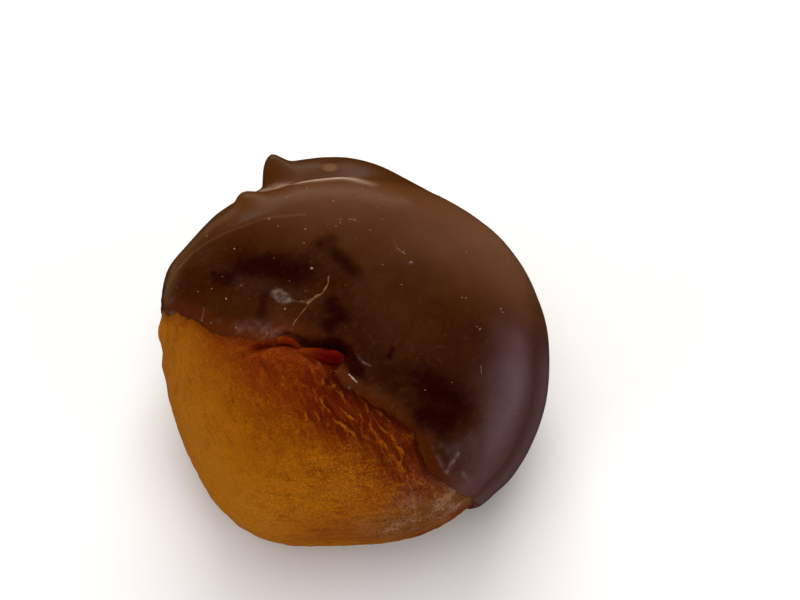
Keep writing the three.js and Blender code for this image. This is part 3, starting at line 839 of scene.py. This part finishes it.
def drop_on(surface, path, step, sink, seed):
    """A path in plan laid on a surface, wandering a little."""
    path = np.array(path, dtype=float)
    length = np.concatenate([[0], np.cumsum(np.linalg.norm(np.diff(path, axis=0), axis=1))])
    at = np.linspace(0, length[-1], max(int(length[-1] / step), 4))
    plan = np.stack([np.interp(at, length, path[:, axis]) for axis in range(2)], 1)
    plan += 0.09 * np.stack([waves(plan, 1.6, seed), waves(plan, 1.6, seed + 1)], 1)
    return np.array([laid_on(surface, place) for place in plan]) - sink * UP


def joined(name, bodies):
    """One mesh of many small closed bodies, each given as rings of points."""
    faces = []
    start = 0
    for rings in bodies:
        rows, count, _ = rings.shape
        faces += side_faces(rows, count, start)
        faces.append([start + k for k in range(count)])
        faces.append([start + (rows - 1) * count + k for k in reversed(range(count))])
        start += rows * count
    return smooth_piece(name, np.concatenate([rings.reshape(-1, 3) for rings in bodies]), faces)


bodies = []
for number, (path, width) in enumerate(THREADS):
    line = drop_on(coat_surface, path, 0.16, 0.1 * width, 60 + 3 * number)
    taper = width * (0.7 + 0.35 * waves(line, 0.9, 70 + number))
    bodies.append(tube(line, np.clip(taper, 0.4 * width, 1.5 * width), around=8, steps=len(line)))
threads = joined("dried_threads", bodies)
string = Finish("dried_pulp_thread")
tone = string.mix(string.step(string.noise(1.5, 3.0), 0.35, 0.65), colour(92, 58, 30), colour(112, 76, 44))
string.surface(Base_Color=tone, Roughness=0.5, Specular_IOR_Level=0.2)
threads.data.materials.append(string.material)
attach(threads, "root")


# Pale crumbs: specks of fat bloom, sugar and crumb that stick to the chocolate, most of them
# far under half a millimetre, with some short scrapes where it was touched; the pale streaks
# by the stem notch and at the right are painted glints.
SPECKS = [
    (-9.1, 11.6, 0.17), (-8.1, 10.4, 0.14), (-5.2, 9.6, 0.11), (-2.3, 13.5, 0.16), (-4.9, 12.7, 0.08),
    (-10.0, 12.9, 0.12), (-0.1, 10.7, 0.14), (-0.5, 10.8, 0.1), (-1.5, 10.7, 0.12), (-2.0, 9.8, 0.13),
    (1.6, 9.2, 0.16), (3.7, 13.0, 0.09), (6.8, 12.7, 0.1), (5.8, 5.1, 0.2), (4.8, 2.3, 0.09),
    (-11.8, 3.4, 0.1), (-13.3, 2.0, 0.15), (-12.7, 8.5, 0.13), (-5.1, 2.2, 0.1), (-7.2, 0.1, 0.11),
    (-4.5, 4.9, 0.2), (-15.8, 11.3, 0.12), (-16.7, 9.7, 0.1), (-16.4, 3.8, 0.1), (15.1, 1.1, 0.15),
    (15.3, 0.8, 0.1), (12.8, -1.9, 0.18), (12.5, -1.7, 0.12), (16.4, -9.3, 0.14), (-6.2, 16.4, 0.12),
    (-5.2, 16.0, 0.12), (-4.4, 15.8, 0.14), (-7.3, 14.7, 0.12), (2.1, 21.7, 0.13), (9.8, -8.0, 0.09),
    (7.1, -8.9, 0.1), (13.5, -14.9, 0.14), (9.3, -15.8, 0.18), (9.6, -15.4, 0.13), (11.7, -15.6, 0.12),
    (-15.9, 0.5, 0.17), (-0.6, -8.9, 0.1), (-14.9, -0.2, 0.1), (-12.2, -1.4, 0.1), (-10.7, -1.7, 0.1),
    (-9.0, -2.6, 0.09),
]
ALL_CRUMBS = 115
# short scrapes, and pale streaks that are painted glints by the stem notch and at the right
SCRAPES_AND_GLINTS = [
    ([(12.8, -6.5), (12.8, -5.8)], 0.08), ([(-0.6, -7.75), (-0.15, -8.1), (0.25, -8.4)], 0.12),
    ([(1.0, -6.65), (1.5, -6.9)], 0.06), ([(-15.95, 0.7), (-15.8, 1.3), (-15.7, 2.0)], 0.06),
    ([(-2.6, -6.75), (-2.1, -6.95), (-1.5, -7.2)], 0.07),
    ([(11.3, -15.9), (11.6, -16.0), (11.8, -15.7)], 0.05),
    ([(4.4, 6.9), (4.8, 6.5), (5.2, 6.2)], 0.05), ([(-0.6, 10.7), (0.2, 10.6)], 0.06),
    ([(-7.2, 14.6), (-6.8, 15.2)], 0.06),
]
rng = np.random.default_rng(5)


def crumb(place, size):
    """A small uneven grain, half sunk in what it lies on."""
    tilt = np.linspace(0.15, 0.85, 5)[:, None] * np.pi
    spin = np.linspace(0, 2 * np.pi, 8, endpoint=False)[None] + rng.uniform(0, 6)
    height = -0.5 * np.cos(tilt) + 0 * spin
    grain = np.stack([np.sin(tilt) * np.cos(spin), np.sin(tilt) * np.sin(spin), height], -1)
    grain *= rng.uniform(0.7, 1.3, grain.shape[:2])[..., None] * (1, rng.uniform(0.6, 1), 1)
    return place + size * grain - 0.2 * size * UP


bodies = [crumb(laid_on(coat_surface, np.array([x, y])), size) for x, y, size in SPECKS]
for number, (path, width) in enumerate(SCRAPES_AND_GLINTS):
    line = drop_on(coat_surface, path, 0.12, 0.4 * width, 80 + 3 * number)
    bodies.append(tube(line, np.full(len(line), width), around=8, flatness=0.6, steps=len(line)))
while len(bodies) < ALL_CRUMBS:
    x, y = rng.uniform(-19, 18), rng.uniform(-6, 20)
    point = laid_on(coat_surface, np.array([x, y]))
    beyond = np.linalg.norm(coat_surface[:, :2] - point[:2], axis=1).min()
    if beyond < 0.25 and point[2] > 15:
        bodies.append(crumb(point, rng.uniform(0.04, 0.08)))
specks_and_glints = joined("pale_specks_and_glints", bodies)
bloom_and_glints = Finish("pale_speck_and_glint")
tone = bloom_and_glints.mix(bloom_and_glints.step(bloom_and_glints.noise(0.7, 3.0), 0.4, 0.66), colour(92, 68, 55), colour(150, 126, 110))
bloom_and_glints.surface(Base_Color=tone, Roughness=0.6, Specular_IOR_Level=0.2)
specks_and_glints.data.materials.append(bloom_and_glints.material)
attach(specks_and_glints, "root")


# The table: a plain pale surface, with soft light from behind, a cool window on the right and
# a warm fill from the near left. The camera looks down at the slant of the photograph.
table_mesh = bpy.data.meshes.new("table_top")
table_mesh.from_pydata([(-1, -1, 0), (1, -1, 0), (1, 1, 0), (-1, 1, 0)], [], [(0, 1, 2, 3)])
table_top = bpy.data.objects.new("table_top", table_mesh)
bpy.context.scene.collection.objects.link(table_top)
pale = Finish("pale_table")
tone = pale.mix(pale.noise(0.02, 2.0) * 0.2, (0.86, 0.86, 0.86), (0.82, 0.82, 0.81))
pale.surface(Base_Color=tone, Roughness=0.7)
table_top.data.materials.append(pale.material)
table_top.visible_glossy = False

TILT = 62 * DEGREE
DISTANCE = 220.0
PER_PIXEL = 0.1077
# How far the middle of the picture lies right of the fruit's and above it, in pixels
AIM_RIGHT = 45
AIM_ABOVE = 62
right = Vector((1, 0, 0))
above = Vector((0, math.sin(TILT), math.cos(TILT)))
back = Vector((0, -math.cos(TILT), math.sin(TILT)))
middle = Vector((0, 0, 12)) - Vector(FOOTPRINT_MIDDLE)
eye = middle + back * DISTANCE
toward = (back * DISTANCE - right * AIM_RIGHT * PER_PIXEL - above * AIM_ABOVE * PER_PIXEL).normalized()
side = above.cross(toward).normalized()
turned = Matrix((side, toward.cross(side), toward)).transposed().to_4x4()
camera = bpy.data.objects.new("camera", bpy.data.cameras.new("camera"))
camera.data.sensor_width = 36
camera.data.lens = 36 * DISTANCE / (800 * PER_PIXEL)
camera.matrix_world = Matrix.Translation(eye * MM) @ turned
bpy.context.scene.collection.objects.link(camera)
bpy.context.scene.camera = camera


def soft_light(name, place, size, power, tint, seen_in):
    """An area light turned to the object, that either lights it or is seen in its gloss."""
    light = bpy.data.lights.new(name, "AREA")
    light.shape = "RECTANGLE"
    light.size, light.size_y = size
    light.energy = power
    light.color = tint
    lamp = bpy.data.objects.new(name, light)
    lamp.location = place
    lamp.visible_glossy = seen_in == "gloss"
    lamp.visible_diffuse = seen_in != "gloss"
    lamp.rotation_mode = "QUATERNION"
    lamp.rotation_quaternion = (Vector((0, 0, 0.012)) - Vector(place)).to_track_quat("-Z", "Y")
    bpy.context.scene.collection.objects.link(lamp)


soft_light("soft_behind", (0.02, 0.42, 0.26), (0.4, 0.3), 2.6, (1.0, 0.98, 0.94), "light")
soft_light("soft_overhead", (-0.06, 0.02, 0.50), (0.5, 0.5), 1.7, (1.0, 0.98, 0.95), "light")
soft_light("fill_left", (-0.38, -0.26, 0.15), (0.25, 0.25), 1.2, (1.0, 0.96, 0.9), "light")
soft_light("fill_right", (0.36, -0.28, 0.16), (0.25, 0.25), 1.1, (1.0, 0.95, 0.96), "light")
soft_light("strip_behind", (-0.06, 0.45, 0.07), (0.4, 0.06), 0.24, (1.0, 0.86, 0.68), "gloss")
soft_light("window_right", (0.42, -0.08, 0.12), (0.32, 0.32), 0.66, (0.86, 0.82, 1.0), "gloss")
world = bpy.data.worlds.new("studio")
world.use_nodes = True
world.node_tree.nodes["Background"].inputs["Color"].default_value = (1, 1, 1, 1)
world.node_tree.nodes["Background"].inputs["Strength"].default_value = 0.07
bpy.context.scene.world = world
world.cycles_visibility.glossy = False
bpy.context.scene.view_settings.view_transform = "Standard"
